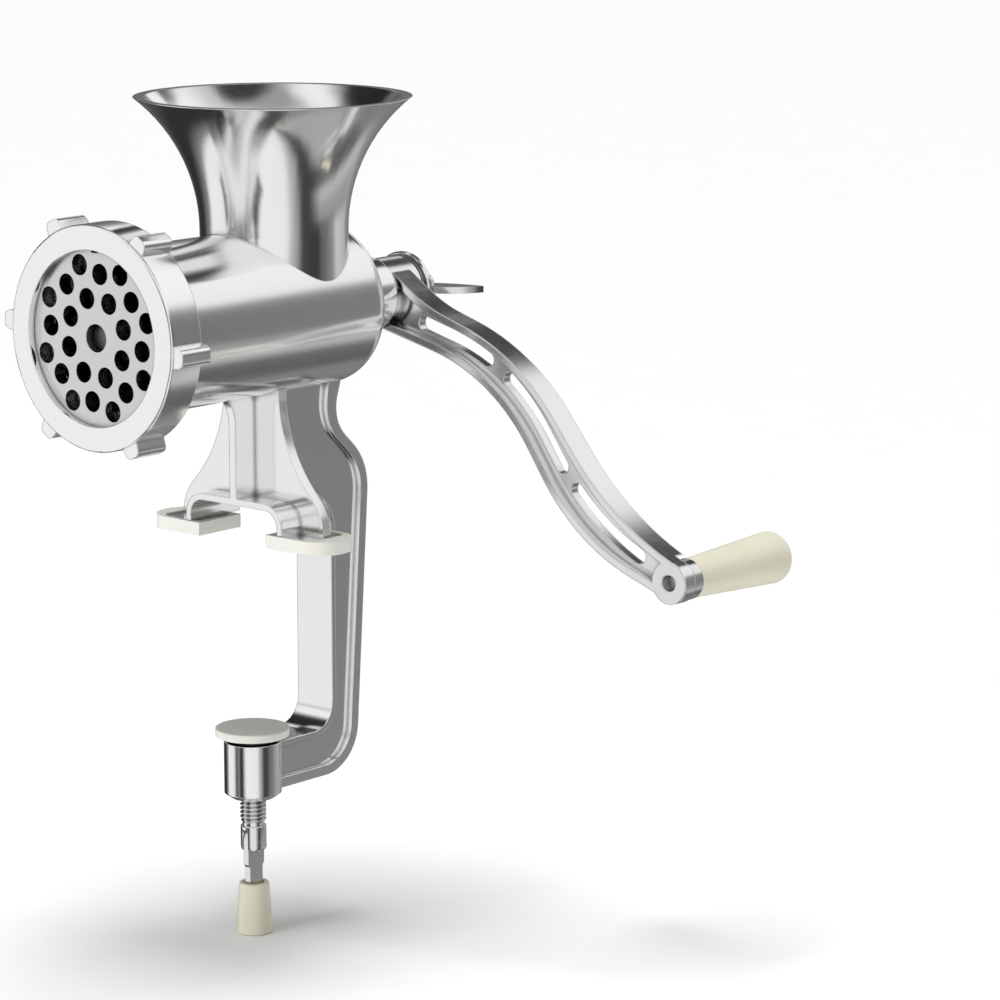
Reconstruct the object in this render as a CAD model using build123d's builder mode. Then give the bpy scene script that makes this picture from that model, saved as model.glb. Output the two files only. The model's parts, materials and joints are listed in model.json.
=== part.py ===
"""Hand crank meat grinder, No. 8 size, that clamps to the edge of a table.

Frame, in millimetres: Y runs along the barrel, with the outlet at -Y and the crank
at +Y. Z is up and X is sideways. The origin is on the clamp screw's axis, level with
the table top, which is where the undersides of the two table pads are.
"""

from build123d import *
from math import sqrt
import os

os.makedirs("parts", exist_ok=True)

# ---------------------------------------------------------------- driving sizes

overlap = 0.6  # how far joined shapes of one casting run into each other
overrun = 1.0  # how far a cut runs past the piece it cuts

# Barrel, from the outlet to the rear bearing
axis_height = 79.8  # barrel axis above the table top
barrel_radius = 28.8
barrel_wall = 3.3
barrel_rear = 43.3  # Y of the barrel's rear face
end_wall = 9.3
rear_rounding = 6.5
bearing_radius = 13.2
bearing_length = 20.2
outlet_reach = 75.3  # from the clamp axis to the front face of the ring nut

# Ring nut and cutting plate
ring_wall = 3.75  # between the thread and the outside
ring_depth = 13.7
lip_thickness = 2.5
lip_cover = 1.0  # how far the lip covers the plate's edge
mouth_wall = 3.75  # of the barrel's mouth, between the plate and the thread
thread_clearance = 0.3
plate_radius = 31.0
plate_thickness = 5.0
plate_fit = 0.15
plate_proud = 1.8  # how far the plate stands out of the barrel's mouth
shoulder_length = 5.6
shoulder_cover = 1.0  # how far the ring nut covers the barrel's shoulder
lug_count = 6
lug_height = 4.2
lug_foot = 2.0  # how deep a lug reaches into the ring
lug_set_back = 0.7
lug_root_width = 8.0
lug_side_angle = 80.0
lug_turn = -3.8  # degrees that the first lug lies below the horizontal
lug_rounding = 2.2  # of each lug's two outer edges
ring_edge = 0.8
key_pin_radius = 1.3
key_pin_length = 5.4
key_depth = 2.0  # how far the pin reaches into the plate's edge
key_pin_fit = 0.2

# Hole pattern of the plate: radius of the circle, first angle
hole_radius = 3.6
hole_circles = ((13.7, 17.5), (21.9, -6.0), (25.3, 17.0))
holes_per_circle = 8

# Hopper
hopper_centre = 13.9  # Y of the hopper's axis
hopper_top = 154.6
mouth_radius = 48.6
neck_radius = 26.0
neck_top = 108.0  # where the flare begins
hopper_wall = 2.3

# Auger, knife and their bearing
auger_clearance = 0.8
auger_pitch = 29.0
auger_core_radius = 8.5
flight_thickness = 4.2
flight_lead = 0.8  # core left bare in front of the flight
flight_sunk = 2.0  # how deep the flight runs into the core
flange_disc_radius = 20.0
flange_disc_thickness = 3.0
shaft_radius = 8.0
square_side = 11.0
square_fit = 0.08  # on each side of a square
front_pin_radius = 4.72
plate_pin_fit = 0.08
pin_recess = 3.2  # the front pin ends this far inside the plate
knife_thickness = 6.0
blade_count = 4
knife_radius = 24.4
knife_arm_width = 11.0
knife_hub_radius = 11.5
knife_gap = 0.05
blade_back_trim = 1.5  # each blade's trailing corner is this much shorter
blade_edge_trim = 0.5  # and its cutting corner this much
bush_wall = 2.4
running_fit = 0.06
washer_thickness = 1.0
washer_radius = 15.0

# Crank
crank_gap = 1.5  # between the bearing and the arm's front face
knob_across = 136.3  # from the barrel axis to the grip's axis, along X
knob_drop = 87.6  # the same, downwards
arm_depth = 9.6
rail_width = 2.8
web_thickness = 3.6
slot_width = 5.6
hub_radius = 12.3
hub_length = 14.4
ferrule_seat_clearance = 1.0
boss_radius = 7.5
boss_depth = 5.6
axle_radius = 2.85
axle_recess = 3.6
ferrule_radius = 7.2
grip_near_radius = 6.9
grip_far_radius = 9.5
grip_length = 50.0
grip_end_rounding = 3.6
axle_head_radius = 4.4
axle_head_thickness = 2.0
cap_radius = 5.0
cap_thickness = 3.0
cap_room = 0.3
ferrule_proud = 0.6
grip_gap = 0.3
grip_near_rounding = 0.8

# Wing screw that holds the crank on
wing_thread_radius = 3.0
wing_thread_fit = 0.05
wing_thread_length = 15.0  # inside the auger's tang
thread_hole_spare = 2.0
tang_set_in = 1.0  # the tang ends this far inside the hub
lock_washer_radius = 12.6
lock_washer_thickness = 1.5
flange_radius = 13.4
flange_thickness = 2.4
wing_span = 24.0  # half the distance from tip to tip
wing_length = 15.5
wing_thickness = 2.4
wing_stem_radius = 6.0
wing_stem_length = 10.8
wing_stem_taper = 8.0  # degrees
wing_root_half = 8.0  # half the wings' width where they leave the flange
wing_side_out = 16.8  # a point halfway along each wing's outer edge: out from the axis
wing_side_back = 4.9  # and back from the flange
wing_hollow_out = 13.2  # a point of the hollow between the wings: out
wing_hollow_back = 13.3  # and back
wing_notch_half = 4.2  # where that hollow meets the stem: out
wing_notch_back = 9.3  # and back
wing_gap = 0.05
lock_washer_fit = 0.3

# Pedestal: cross web, front rib and arched foot
web_front = 1.4
cross_web_thickness = 3.8
web_top_half = 13.4
web_foot_half = 34.3
web_upright_end = 34.7  # height above the arch where the web begins to flare
web_flare_out = 3.2  # the flare's middle: this far outside the upright
web_flare_up = 20.4  # and this high above the arch
web_toe_in = 5.7  # the rounded toe starts this far inside the foot's end
web_toe_up = 2.1  # and this high above the arch
rib_thickness = 3.2
rib_front = -8.3
rib_flare = 4.4
rib_flare_height = 9.5  # below the barrel
arch_half = 23.2
arch_top = 15.3
arch_thickness = 2.3
arch_radius = 8.0
arch_rear = 16.5

# Table pads
pad_inner = 16.2
pad_outer = 43.2
pad_front = -9.0
pad_rear = 12.0
pad_height = 4.75
pad_floor = 1.8
pad_corner = 10.0
foot_inner = 18.6
foot_outer = 36.2
foot_front = -6.6
foot_rear = 9.6
foot_height = 3.4
foot_gap = 0.5
foot_corner = 3.0

# Clamp frame, a C seen from the side
frame_width = 17.0
frame_rim = 3.6  # along the outside of the C
inner_rim = 2.0  # along its throat
panel_recess = 2.0
throat_depth = 32.8  # from the clamp axis to the spine's inner face
spine_top_y = 39.0
spine_waist_y = 33.9
waist_height = 38.8
spine_bulge_y = 52.8
bulge_height = 20.9
spine_foot_y = 45.2
arm_top = -73.4
arm_bottom = -90.5
throat_top_radius = 14.5
throat_foot_radius = 9.5
waist_radius = 14.0
bulge_radius = 22.0
heel_radius = 17.0

# Clamp screw and its lever
screw_boss_radius = 10.2
screw_boss_bottom = -92.1
screw_boss_chamfer = 1.8
screw_boss_taper = 55.0  # degrees
screw_radius = 4.7
screw_pitch = 1.5
screw_fit = 0.06
fork_top = -104.3
fork_bottom = -113.6
fork_pin_height = -109.8
fork_pin_radius = 1.5
bar_thickness = 2.4
bar_width = 8.0
bar_tail_width = 6.4
bar_step = -118.5
bar_step_rise = 1.0
bar_end = -138.0
fork_slot_clearance = 0.15
lever_grip_top = -125.4
lever_grip_bottom = -144.0
lever_grip_top_radius = 5.3
lever_grip_bottom_radius = 6.6
lever_grip_rounding = 1.0
lever_socket_radius = 3.65
lever_socket_floor = -136.0
pressure_pad_radius = 13.2
pressure_pad_thickness = 3.0
pressure_disc_radius = 9.0
pressure_disc_thickness = 1.5
pressure_gap = 0.5
pivot_radius = 2.5
pivot_gap = 0.35
pivot_roof = 0.2  # left of the disc above the pivot
small_edge = 0.5  # chamfers and rounds of the turned pieces
lever_pin_half = 4.4

# ---------------------------------------------------------------- worked-out sizes

bore_radius = barrel_radius - barrel_wall
thread_radius = plate_radius + mouth_wall
ring_radius = thread_radius + ring_wall
aperture_radius = plate_radius - lip_cover
plate_front = -outlet_reach + lip_thickness
plate_back = plate_front + plate_thickness
mouth_face = plate_front + plate_proud
ring_rear = -outlet_reach + ring_depth
shoulder_y = ring_rear - shoulder_cover
bore_end = barrel_rear - end_wall
bearing_end = barrel_rear + bearing_length
knife_front = plate_back + knife_gap
knife_back = knife_front + knife_thickness
auger_rear = bore_end - washer_thickness - 2 * knife_gap
crank_front = bearing_end + crank_gap
crank_rear = crank_front + arm_depth
hub_front = bearing_end + crank_gap / 2
hub_rear = hub_front + hub_length
tang_end = hub_rear - tang_set_in
bush_radius = shaft_radius + bush_wall
knob_height = axis_height - knob_drop
pin_base = axis_height + plate_radius - key_depth
pin_y = (plate_back + mouth_face) / 2
flange_front = hub_rear + lock_washer_thickness
wing_front = flange_front + flange_thickness
throat_radius = neck_radius - hopper_wall
web_back = web_front + cross_web_thickness
arch_under = arch_top - arch_thickness
web_top = axis_height - bore_radius
rib_top = axis_height - barrel_radius + overlap
pressure_disc_bottom = arm_top + pressure_gap
pressure_pad_bottom = pressure_disc_bottom + pressure_disc_thickness
pressure_pad_top = pressure_pad_bottom + pressure_pad_thickness
bar_slot_half = bar_thickness / 2 + fork_slot_clearance

barrel_axis = Axis((0, 0, axis_height), (0, 1, 0))
side_plane = Plane((0, 0, axis_height), x_dir=(0, 1, 0), z_dir=(1, 0, 0))
frame_plane = Plane((0, 0, 0), x_dir=(0, 1, 0), z_dir=(1, 0, 0))


def across(y, height=axis_height, across_x=0.0):
    """A plane square to the barrel at y. Its local x is X, its local y is Z, and
    it looks forward, so a positive extrusion goes towards the outlet."""
    return Plane((across_x, y, height), x_dir=(1, 0, 0), z_dir=(0, -1, 0))


def finish(part, name):
    """Names a finished piece and writes it."""
    part.part.label = name
    export_step(part.part, f"parts/{name}.step")
    print(name, round(part.part.volume), "mm3")


# ---------------------------------------------------------------- the casting


def frame_outline(front, top, throat_shift=0.0):
    """The clamp frame's C from the side: its upper panel, which starts at front and
    reaches up to top, then down the spine and along the arm to the screw. Positive
    throat_shift moves the throat's own edge into the throat."""
    throat_y = throat_depth - throat_shift
    throat_top = arch_under - throat_shift
    throat_foot = arm_top + throat_shift
    corners = (
        (front, top),
        (spine_top_y, top),
        (spine_waist_y, waist_height),
        (spine_bulge_y, bulge_height),
        (spine_foot_y, arm_bottom),
        (0, arm_bottom),
        (0, throat_foot),
        (throat_y, throat_foot),
        (throat_y, throat_top),
        (front, throat_top),
    )
    foot_radius = throat_foot_radius - throat_shift
    top_radius = throat_top_radius - throat_shift
    radii = (0, 0, waist_radius, bulge_radius, heel_radius, 0, 0, foot_radius, top_radius, 0)
    return FilletPolyline(*corners, radius=radii, close=True, mode=Mode.PRIVATE)


frame_side = frame_outline(web_front + overlap, web_top)
recess_side = frame_outline(web_front - 3 * frame_rim, axis_height, frame_rim - inner_rim)

with BuildPart() as clamp_frame:
    with BuildSketch(frame_plane):
        with BuildLine():
            add(frame_side)
        make_face()
    extrude(amount=frame_width / 2, both=True)
    for side in (1, -1):
        with BuildSketch(frame_plane.offset(side * frame_width / 2)):
            with BuildLine():
                add(recess_side)
            make_face()
            offset(amount=-frame_rim, mode=Mode.REPLACE)
        extrude(amount=-side * panel_recess, mode=Mode.SUBTRACT)

with BuildPart() as body_casting:
    # Barrel, its wider mouth, and the bearing behind it
    with BuildSketch(side_plane):
        with BuildLine():
            Polyline(
                (mouth_face, 0),
                (mouth_face, thread_radius),
                (shoulder_y, thread_radius),
                (shoulder_y + shoulder_length, barrel_radius),
                (barrel_rear, barrel_radius),
                (barrel_rear, bearing_radius),
                (bearing_end, bearing_radius),
                (bearing_end, 0),
                close=True,
            )
        make_face()
        fillet(vertices().sort_by_distance((barrel_rear, barrel_radius))[0], radius=rear_rounding)
    revolve(axis=barrel_axis)
    # Hopper: a neck that flares in one round sweep to the mouth
    flare_rise = hopper_top - neck_top
    flare_run = mouth_radius - neck_radius
    flare_radius = (flare_rise**2 + flare_run**2) / (2 * flare_run)
    hopper_plane = Plane((0, hopper_centre, 0), x_dir=(1, 0, 0), z_dir=(0, -1, 0))
    with BuildSketch(hopper_plane):
        with BuildLine():
            wall_line = Line((0, axis_height), (neck_radius, axis_height))
            neck_line = Line(wall_line @ 1, (neck_radius, neck_top))
            flare = TangentArc(neck_line @ 1, (mouth_radius, hopper_top), tangent=(0, 1))
            rim = Line(flare @ 1, (0, hopper_top))
            Line(rim @ 1, wall_line @ 0)
        make_face()
    revolve(axis=Axis((0, hopper_centre, 0), (0, 0, 1)))
    # Cross web with its flared feet
    with BuildSketch(across(web_front, 0)):
        with BuildLine():
            top_line = Line((0, web_top), (web_top_half, web_top))
            upright = Line(top_line @ 1, (web_top_half, arch_top + web_upright_end))
            hollow = ThreePointArc(
                upright @ 1,
                (web_top_half + web_flare_out, arch_top + web_flare_up),
                (web_foot_half - web_toe_in, arch_top + web_toe_up),
            )
            toe_curve = TangentArc(hollow @ 1, (web_foot_half, foot_height), tangent=hollow % 1)
            base = Line(toe_curve @ 1, (0, foot_height))
            Line(base @ 1, top_line @ 0)
        make_face()
        mirror(about=Plane.YZ)
    extrude(amount=-cross_web_thickness)
    # Arched foot strip: the solid arch first, then its opening
    with BuildSketch(across(rib_front, 0)):
        with Locations((0, (arch_top + foot_height) / 2)):
            Rectangle(2 * arch_half, arch_top - foot_height)
        fillet(vertices().group_by(Axis.Y)[-1], radius=arch_radius)
    extrude(amount=-(arch_rear - rib_front))
    with BuildSketch(across(rib_front - overrun, 0)):
        with Locations((0, (arch_under - arch_top) / 2)):
            Rectangle(2 * (arch_half - arch_thickness), arch_under + arch_top)
        fillet(vertices().group_by(Axis.Y)[-1], radius=arch_radius - arch_thickness)
    extrude(amount=-(arch_rear - rib_front + 2 * overrun), mode=Mode.SUBTRACT)
    # The arched strip stands on the pads' rims, in front of the feet and behind them
    rims = (
        (rib_front - overrun, foot_front - foot_gap),
        (foot_rear + foot_gap, arch_rear + overrun),
    )
    with BuildSketch(Plane.XY.offset(foot_height)):
        for rim_start, rim_end in rims:
            with Locations((0, (rim_start + rim_end) / 2)):
                Rectangle(2 * (arch_half + overrun), rim_end - rim_start)
    extrude(amount=pad_height - foot_height, mode=Mode.SUBTRACT)
    # Feet that sit in the pads
    foot_size = (foot_outer - foot_inner, foot_rear - foot_front)
    with BuildSketch(Plane.XY.offset(pad_floor)):
        for side in (-1, 1):
            with Locations((side * (foot_inner + foot_outer) / 2, (foot_front + foot_rear) / 2)):
                RectangleRounded(*foot_size, foot_corner)
    extrude(amount=foot_height + overlap - pad_floor)
    # Front rib, flaring where it meets the barrel
    with BuildSketch(frame_plane):
        with BuildLine():
            rib_base = Line((web_front + overlap, arch_under + overlap), (rib_front, arch_under + overlap))
            rib_edge = Line(rib_base @ 1, (rib_front, axis_height - barrel_radius - rib_flare_height))
            rib_curve = TangentArc(rib_edge @ 1, (rib_front - rib_flare, rib_top), tangent=(0, 1))
            rib_head = Line(rib_curve @ 1, (web_front + overlap, rib_top))
            Line(rib_head @ 1, rib_base @ 0)
        make_face()
    extrude(amount=rib_thickness / 2, both=True)
    # Clamp frame and the boss that the clamp screw runs in
    add(clamp_frame.part)
    with BuildSketch(Plane.XY.offset(arm_top)):
        Circle(screw_boss_radius)
    extrude(amount=screw_boss_bottom - arm_top)
    with BuildSketch(Plane.XY.offset(screw_boss_bottom)):
        Circle(screw_boss_radius)
    extrude(amount=-screw_boss_chamfer, taper=screw_boss_taper)
    # Hollows: barrel bore, plate seat, bearing bore, hopper and screw hole
    with BuildSketch(across(bore_end)):
        Circle(bore_radius)
    extrude(amount=bore_end - mouth_face + overrun, mode=Mode.SUBTRACT)
    with BuildSketch(across(plate_back)):
        Circle(plate_radius + plate_fit)
    extrude(amount=plate_back - mouth_face + overrun, mode=Mode.SUBTRACT)
    with BuildSketch(across(bearing_end + overrun)):
        Circle(bush_radius)
    extrude(amount=bearing_end + overrun - bore_end, mode=Mode.SUBTRACT)
    with BuildSketch(hopper_plane):
        inner_radius = flare_radius + hopper_wall
        inner_run = sqrt(inner_radius**2 - flare_rise**2)
        inner_mouth = neck_radius + flare_radius - inner_run
        with BuildLine():
            floor_line = Line((0, axis_height), (throat_radius, axis_height))
            throat_line = Line(floor_line @ 1, (throat_radius, neck_top))
            inner_flare = TangentArc(throat_line @ 1, (inner_mouth, hopper_top), tangent=(0, 1))
            over = Line(inner_flare @ 1, (0, hopper_top))
            Line(over @ 1, floor_line @ 0)
        make_face()
    revolve(axis=Axis((0, hopper_centre, 0), (0, 0, 1)), mode=Mode.SUBTRACT)
    with BuildSketch(Plane.XY.offset(arm_top + overrun)):
        Circle(screw_radius + screw_fit)
    extrude(amount=screw_boss_bottom - screw_boss_chamfer - arm_top - 2 * overrun, mode=Mode.SUBTRACT)
    # Hole for the key pin, at the top of the plate's seat
    with BuildSketch(Plane.XY.offset(pin_base)):
        with Locations((0, pin_y)):
            Circle(key_pin_radius)
    extrude(amount=key_pin_length, mode=Mode.SUBTRACT)
finish(body_casting, "body_casting")

with BuildPart() as plate_key_pin:
    with BuildSketch(Plane.XY.offset(pin_base)):
        with Locations((0, pin_y)):
            Circle(key_pin_radius)
    extrude(amount=key_pin_length)
finish(plate_key_pin, "plate_key_pin")

with BuildPart() as rear_bush:
    with BuildSketch(across(bearing_end)):
        Circle(bush_radius)
        Circle(shaft_radius + running_fit, mode=Mode.SUBTRACT)
    extrude(amount=bearing_length + end_wall)
finish(rear_bush, "rear_bush")

# Table pads: white, with a socket in the top for each foot of the casting
for side, name in ((-1, "pad_left"), (1, "pad_right")):
    with BuildPart() as table_pad:
        with BuildSketch():
            with Locations((side * (pad_inner + pad_outer) / 2, (pad_front + pad_rear) / 2)):
                Rectangle(pad_outer - pad_inner, pad_rear - pad_front)
            fillet(vertices().group_by(Axis.X)[-1 if side > 0 else 0], radius=pad_corner)
        extrude(amount=pad_height)
        with BuildSketch(Plane.XY.offset(pad_floor)):
            with Locations((side * (foot_inner + foot_outer) / 2, (foot_front + foot_rear) / 2)):
                RectangleRounded(
                    foot_outer - foot_inner + 2 * foot_gap,
                    foot_rear - foot_front + 2 * foot_gap,
                    foot_corner + foot_gap,
                )
        extrude(amount=pad_height, mode=Mode.SUBTRACT)
    finish(table_pad, name)

# ---------------------------------------------------------------- cutting end

with BuildPart() as cutting_plate:
    with BuildSketch(across(plate_back)):
        Circle(plate_radius)
        Circle(front_pin_radius + plate_pin_fit, mode=Mode.SUBTRACT)
        for circle_radius, first_angle in hole_circles:
            with PolarLocations(circle_radius, holes_per_circle, start_angle=first_angle):
                Circle(hole_radius, mode=Mode.SUBTRACT)
        with Locations((0, plate_radius)):
            Rectangle(
                2 * (key_pin_radius + key_pin_fit),
                2 * (plate_radius - pin_base + axis_height + key_pin_fit),
                mode=Mode.SUBTRACT,
            )
    extrude(amount=plate_thickness)
finish(cutting_plate, "cutting_plate")

with BuildPart() as ring_nut:
    with BuildSketch(across(ring_rear)):
        Circle(ring_radius)
    extrude(amount=ring_depth)
    front_edge = edges().filter_by(GeomType.CIRCLE).sort_by(Axis.Y)[0]
    fillet(front_edge, radius=ring_edge)
    with BuildSketch(across(ring_rear)):
        with PolarLocations(ring_radius + (lug_height - lug_foot) / 2, lug_count, start_angle=lug_turn):
            Trapezoid(lug_root_width, lug_height + lug_foot, lug_side_angle, rotation=-90)
        outer_corners = vertices().filter_by(lambda corner: Vector(corner).length > ring_radius)
        fillet(outer_corners, radius=lug_rounding)
    extrude(amount=ring_depth - lug_set_back)
    with BuildSketch(across(ring_rear)):
        Circle(thread_radius + thread_clearance)
    extrude(amount=ring_depth - lip_thickness, mode=Mode.SUBTRACT)
    with BuildSketch(across(ring_rear)):
        Circle(aperture_radius)
    extrude(amount=ring_depth, mode=Mode.SUBTRACT)
finish(ring_nut, "ring_nut")

with BuildPart() as knife:
    with BuildSketch(across(knife_back)):
        Circle(knife_hub_radius)
        with BuildLine(mode=Mode.PRIVATE) as blade_outline:
            Polyline(
                (0, -knife_arm_width / 2),
                (knife_radius - blade_back_trim, -knife_arm_width / 2),
                (knife_radius - blade_edge_trim, knife_arm_width / 4),
                (0, knife_arm_width / 2),
                close=True,
            )
        with BuildSketch(mode=Mode.PRIVATE) as blade:
            add(blade_outline.line)
            make_face()
        for turn in range(blade_count):
            add(blade.sketch.rotate(Axis.Z, turn * 360 / blade_count))
        Rectangle(square_side + 2 * square_fit, square_side + 2 * square_fit, mode=Mode.SUBTRACT)
    extrude(amount=knife_thickness)
finish(knife, "knife")

# ---------------------------------------------------------------- auger

auger_start = knife_back + flight_thickness / 2 + flight_lead
flight_radius = bore_radius - auger_clearance
flight_depth = flight_radius - auger_core_radius + flight_sunk
flight_length = auger_rear - flange_disc_thickness - flight_lead - auger_start - flight_thickness / 2
with BuildPart() as auger:
    with BuildSketch(across(auger_rear)):
        Circle(auger_core_radius)
    extrude(amount=auger_rear - knife_back)
    with BuildSketch(across(auger_rear)):
        Circle(flange_disc_radius)
    extrude(amount=flange_disc_thickness)
    with BuildSketch(across(knife_back)):
        Rectangle(square_side, square_side)
    extrude(amount=knife_thickness)
    with BuildSketch(across(knife_front)):
        Circle(front_pin_radius)
    extrude(amount=knife_front - plate_front - pin_recess)
    with BuildSketch(across(hub_front)):
        Circle(shaft_radius)
    extrude(amount=hub_front - auger_rear)
    with BuildSketch(across(tang_end)):
        Rectangle(square_side, square_side)
    extrude(amount=tang_end - hub_front)
    with BuildSketch(across(tang_end)):
        Circle(wing_thread_radius + wing_thread_fit)
    extrude(amount=wing_thread_length + thread_hole_spare, mode=Mode.SUBTRACT)
    # Helical flight, wound about the core
    with BuildLine():
        winding = Helix(
            auger_pitch,
            flight_length,
            flight_radius,
            center=(0, auger_start, axis_height),
            direction=(0, 1, 0),
        )
    with BuildSketch(Plane(winding @ 0, x_dir=(0, 0, 1), z_dir=winding % 0)):
        with Locations((-flight_depth / 2, 0)):
            Rectangle(flight_depth, flight_thickness)
    sweep(is_frenet=True)
finish(auger, "auger")

with BuildPart() as thrust_washer:
    with BuildSketch(across(bore_end - knife_gap)):
        Circle(washer_radius)
        Circle(shaft_radius + running_fit, mode=Mode.SUBTRACT)
    extrude(amount=washer_thickness)
finish(thrust_washer, "thrust_washer")

# ---------------------------------------------------------------- crank


def arm_point(along, aside):
    """A point of the crank's front view, in X and Z from the barrel axis: along is
    its share of the way to the grip, aside its distance from that line in mm."""
    reach = sqrt(knob_across**2 + knob_drop**2)
    run_x = knob_across / reach
    run_z = -knob_drop / reach
    return (along * knob_across - aside * run_z, -along * knob_drop + aside * run_x)


# Corners of the S-shaped arm's two edges, and of the line down the middle of its
# slots, as (share, aside), with the radii that round the corners between the ends
upper_edge = ((0.0, 11.9), (0.145, 11.9), (0.407, 24.0), (0.802, 2.2), (1.0, 7.4))
upper_radii = (60.0, 88.0, 110.0)
lower_edge = ((0.0, -11.9), (0.377, 9.9), (0.753, -15.6), (1.0, -6.0))
lower_radii = (74.0, 80.0)
middle_line = ((0.105, 2.0), (0.389, 17.0), (0.772, -7.5), (0.957, -0.5))
middle_radii = (75.0, 90.0)
slot_spans = ((0.05, 0.27), (0.355, 0.615), (0.69, 0.93))

with BuildPart() as crank_arm:
    with BuildSketch(across(crank_rear)) as arm_outline:
        with BuildLine():
            above = FilletPolyline(*[arm_point(*point) for point in upper_edge], radius=upper_radii)
            below = FilletPolyline(*[arm_point(*point) for point in lower_edge], radius=lower_radii)
            Line(above @ 0, below @ 0)
            Line(above @ 1, below @ 1)
        make_face()
    extrude(amount=arm_depth)
    # The web runs down the middle, so there is a recess in front and one behind
    recess_depth = (arm_depth - web_thickness) / 2
    for recess_plane, way in ((across(crank_front), -1), (across(crank_rear), 1)):
        with BuildSketch(recess_plane):
            add(arm_outline.sketch_local)
            offset(amount=-rail_width, mode=Mode.REPLACE)
        extrude(amount=way * recess_depth, mode=Mode.SUBTRACT)
    with BuildLine(mode=Mode.PRIVATE):
        middle = FilletPolyline(*[arm_point(*point) for point in middle_line], radius=middle_radii)
    with BuildSketch(across(crank_rear)):
        for slot_start, slot_end in slot_spans:
            SlotArc(middle.trim(slot_start, slot_end), slot_width)
    extrude(amount=arm_depth, mode=Mode.SUBTRACT)
    # Hub on the auger's square, and the boss at the grip
    with BuildSketch(across(hub_rear)):
        Circle(hub_radius)
    extrude(amount=hub_length)
    with BuildSketch(across(crank_rear)):
        with Locations((knob_across, -knob_drop)):
            Circle(boss_radius)
    extrude(amount=arm_depth)
    with BuildSketch(across(hub_rear)):
        Rectangle(square_side + 2 * square_fit, square_side + 2 * square_fit)
    extrude(amount=hub_length, mode=Mode.SUBTRACT)
    with BuildSketch(across(crank_rear)):
        with Locations((knob_across, -knob_drop)):
            Circle(axle_radius)
    extrude(amount=arm_depth, mode=Mode.SUBTRACT)
    # Seat for the grip's ferrule, behind the boss
    with BuildSketch(across(crank_rear)):
        with Locations((knob_across, -knob_drop)):
            Circle(boss_radius + ferrule_seat_clearance)
    extrude(amount=arm_depth - boss_depth, mode=Mode.SUBTRACT)
finish(crank_arm, "crank_arm")

knob_axis = Axis((knob_across, 0, knob_height), (0, 1, 0))
knob_plane = Plane((knob_across, 0, knob_height), x_dir=(0, 1, 0), z_dir=(1, 0, 0))
ferrule_front = crank_front + boss_depth
ferrule_rear = crank_rear + ferrule_proud
grip_near = ferrule_rear + grip_gap
grip_far = grip_near + grip_length
head_front = grip_far - cap_thickness - axle_head_thickness - 2 * grip_gap - cap_room

with BuildPart() as grip_ferrule:
    with BuildSketch(across(ferrule_rear, knob_height, knob_across)):
        Circle(ferrule_radius)
        Circle(axle_radius, mode=Mode.SUBTRACT)
    extrude(amount=ferrule_rear - ferrule_front)
    chamfer(edges().filter_by(GeomType.CIRCLE).sort_by(Axis.Y)[-1], length=small_edge)
finish(grip_ferrule, "grip_ferrule")

with BuildPart() as grip_axle:
    with BuildSketch(across(head_front + axle_head_thickness, knob_height, knob_across)):
        Circle(axle_head_radius)
    extrude(amount=axle_head_thickness)
    with BuildSketch(across(head_front, knob_height, knob_across)):
        Circle(axle_radius)
    extrude(amount=head_front - crank_front - axle_recess)
finish(grip_axle, "grip_axle")

with BuildPart() as crank_grip:
    with BuildSketch(knob_plane):
        with BuildLine():
            Polyline(
                (grip_near, axle_radius + running_fit),
                (grip_near, grip_near_radius),
                (grip_far, grip_far_radius),
                (grip_far, cap_radius),
                (grip_far - cap_thickness, cap_radius),
                (head_front - grip_gap, cap_radius),
                (head_front - grip_gap, axle_radius + running_fit),
                close=True,
            )
        make_face()
        fillet(vertices().sort_by_distance((grip_far, grip_far_radius))[0], radius=grip_end_rounding)
        fillet(vertices().sort_by_distance((grip_near, grip_near_radius))[0], radius=grip_near_rounding)
    revolve(axis=knob_axis)
finish(crank_grip, "crank_grip")

with BuildPart() as grip_cap:
    with BuildSketch(across(grip_far, knob_height, knob_across)):
        Circle(cap_radius)
    extrude(amount=cap_thickness)
    chamfer(edges().filter_by(GeomType.CIRCLE).sort_by(Axis.Y)[-1], length=small_edge)
finish(grip_cap, "grip_cap")

# ---------------------------------------------------------------- wing screw

with BuildPart() as lock_washer:
    with BuildSketch(across(flange_front)):
        Circle(lock_washer_radius)
        Circle(wing_thread_radius + lock_washer_fit, mode=Mode.SUBTRACT)
    extrude(amount=lock_washer_thickness)
finish(lock_washer, "lock_washer")

with BuildPart() as wing_screw:
    with BuildSketch(across(wing_front)):
        Circle(flange_radius)
    extrude(amount=flange_thickness - wing_gap)
    chamfer(edges().filter_by(GeomType.CIRCLE), length=small_edge)
    with BuildSketch(across(flange_front + wing_gap)):
        Circle(wing_thread_radius)
    extrude(amount=tang_end - flange_front + wing_thread_length)
    with BuildSketch(across(wing_front)):
        Circle(wing_stem_radius)
    extrude(amount=-wing_stem_length, taper=wing_stem_taper)
    # Two flat wings, in the plane through the axis, wider towards the back
    with BuildSketch(Plane.XY.offset(axis_height)):
        with BuildLine():
            wing_root = Line((0, wing_front - overlap), (wing_root_half, wing_front - overlap))
            wing_side = ThreePointArc(
                wing_root @ 1,
                (wing_side_out, wing_front + wing_side_back),
                (wing_span, wing_front + wing_length),
            )
            wing_back = ThreePointArc(
                wing_side @ 1,
                (wing_hollow_out, wing_front + wing_hollow_back),
                (wing_notch_half, wing_front + wing_notch_back),
            )
            wing_mid = Line(wing_back @ 1, (0, wing_front + wing_notch_back))
            Line(wing_mid @ 1, wing_root @ 0)
        make_face()
        mirror(about=Plane.YZ)
    extrude(amount=wing_thickness / 2, both=True)
finish(wing_screw, "wing_screw")

# ---------------------------------------------------------------- clamp screw

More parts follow.
